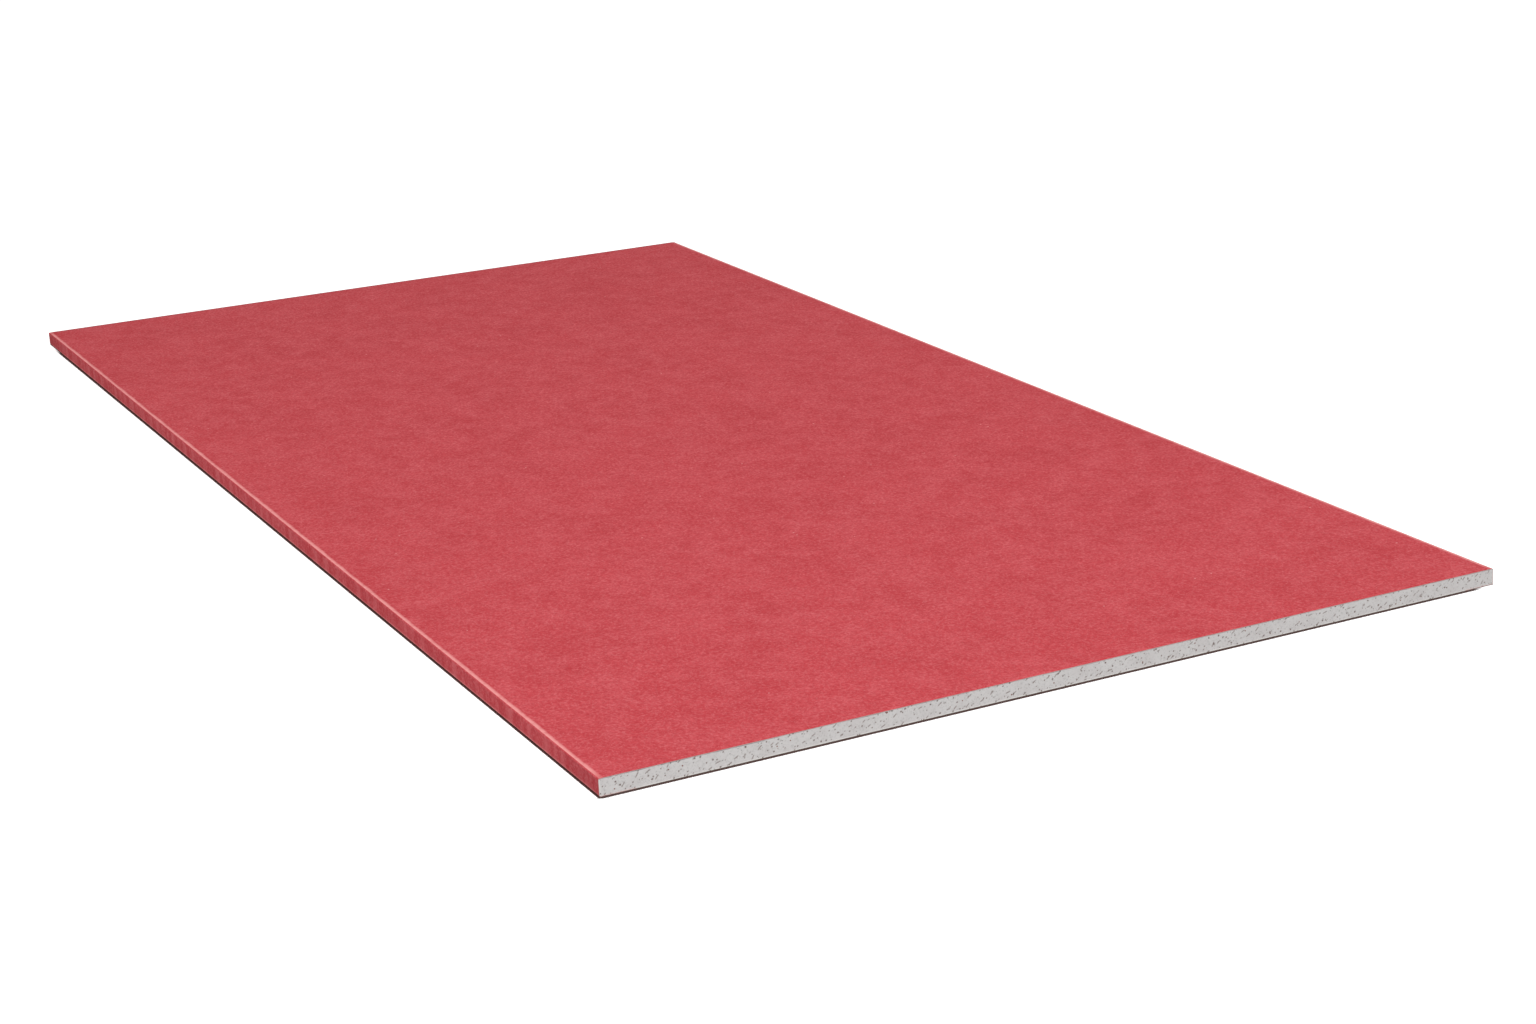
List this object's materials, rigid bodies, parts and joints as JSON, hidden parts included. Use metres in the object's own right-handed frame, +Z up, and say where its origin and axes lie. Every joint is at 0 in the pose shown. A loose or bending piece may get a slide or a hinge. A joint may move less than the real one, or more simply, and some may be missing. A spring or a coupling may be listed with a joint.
{
  "type": "drywall sheet",
  "caption": "Flat rectangular fire-rated gypsum board: a gypsum core in a red face liner that wraps both long edges and folds under a plain back liner; cut ends bare.",
  "frame": {"origin": "middle of the underside, where the back liner lies on what is under it", "axes": "+X across the board's width, +Y along its length, +Z up through its thickness, with the red face uppermost"},
  "size_m": [0.9, 1.8, 0.016],
  "materials": {
    "gypsum": "matt sawn gypsum, light grey, with pores and brown and grey specks",
    "red_liner_paper": "matt red liner board with short pressed fibres, smoother and paler along the eased edge",
    "grey_liner_paper": "matt grey-brown recycled liner board with short fibres and dark flecks"
  },
  "bodies": {
    "root": {"gypsum_core": "gypsum", "face_paper": "red_liner_paper", "back_paper": "grey_liner_paper"}
  },
  "joints": []
}
